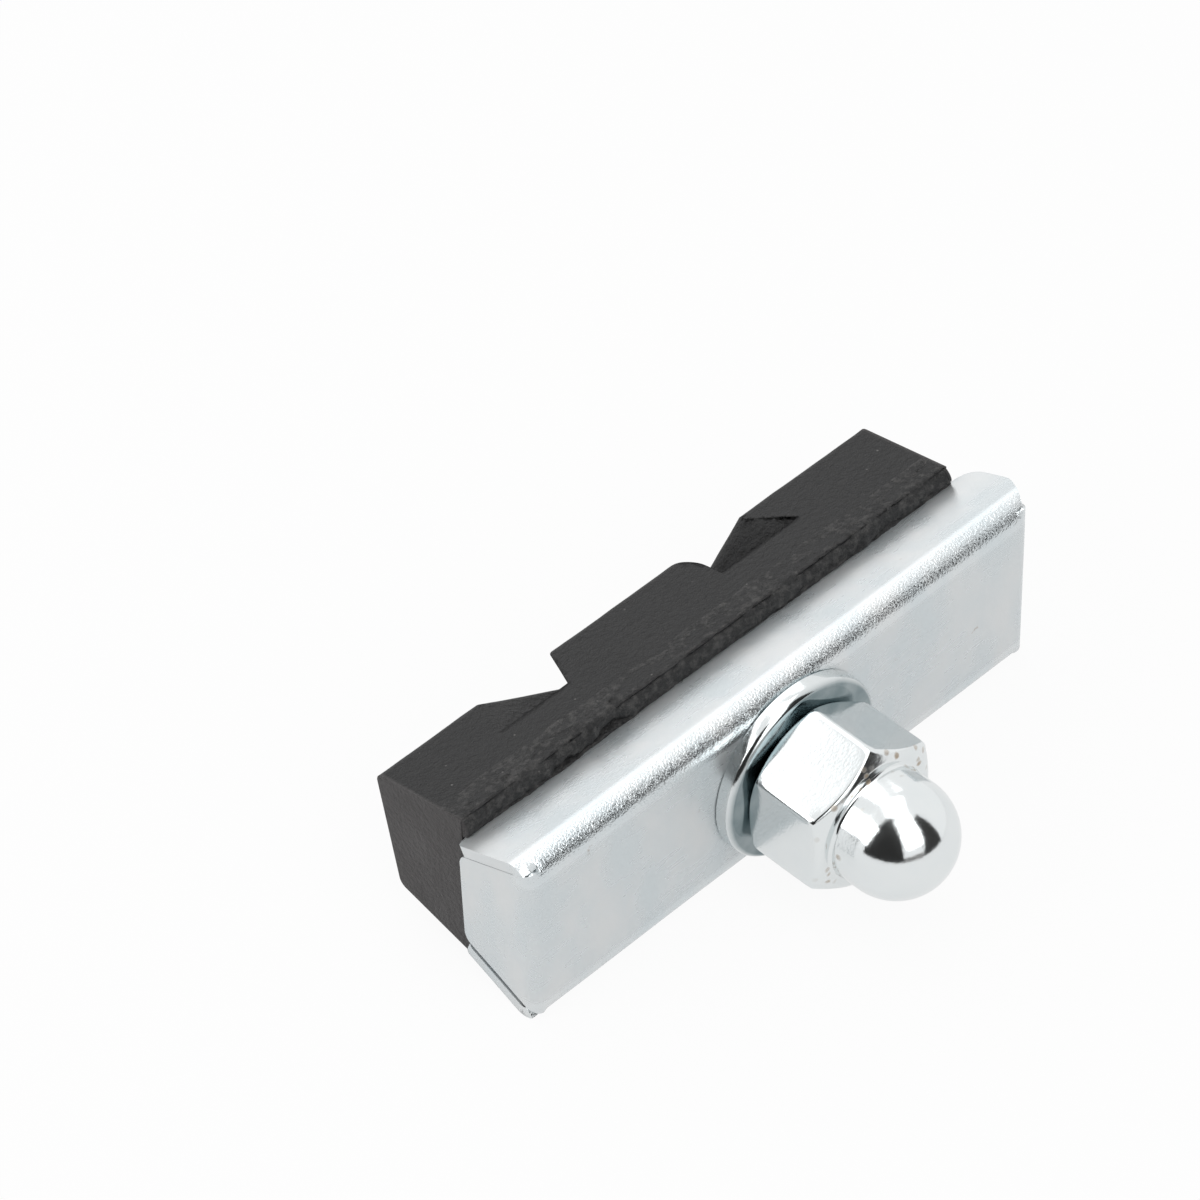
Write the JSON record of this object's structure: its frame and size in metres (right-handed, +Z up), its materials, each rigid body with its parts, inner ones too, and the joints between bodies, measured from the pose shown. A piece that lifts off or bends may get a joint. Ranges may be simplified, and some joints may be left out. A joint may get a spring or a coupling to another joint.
{
  "type": "bicycle rim brake pad",
  "caption": "Bicycle rim brake pad: a grooved rubber block in a folded steel holder, with a threaded stud, a washer and a domed cap nut.",
  "frame": {"origin": "where the stud's axis leaves the outer face of the holder's web", "axes": "+X along the pad, +Y from the holder to the working face that rubs on the rim, +Z up across the pad"},
  "size_m": [0.0451, 0.0274, 0.0136],
  "materials": {
    "zinc_plated_steel": "satin zinc plating",
    "bright_nut": "bright nickel plating",
    "black_rubber": "moulded rubber with a fine grain"
  },
  "bodies": {
    "root": {"holder": "zinc_plated_steel", "rubber_block": "black_rubber", "stud": "zinc_plated_steel", "washer": "bright_nut", "cap_nut": "bright_nut"}
  },
  "joints": []
}
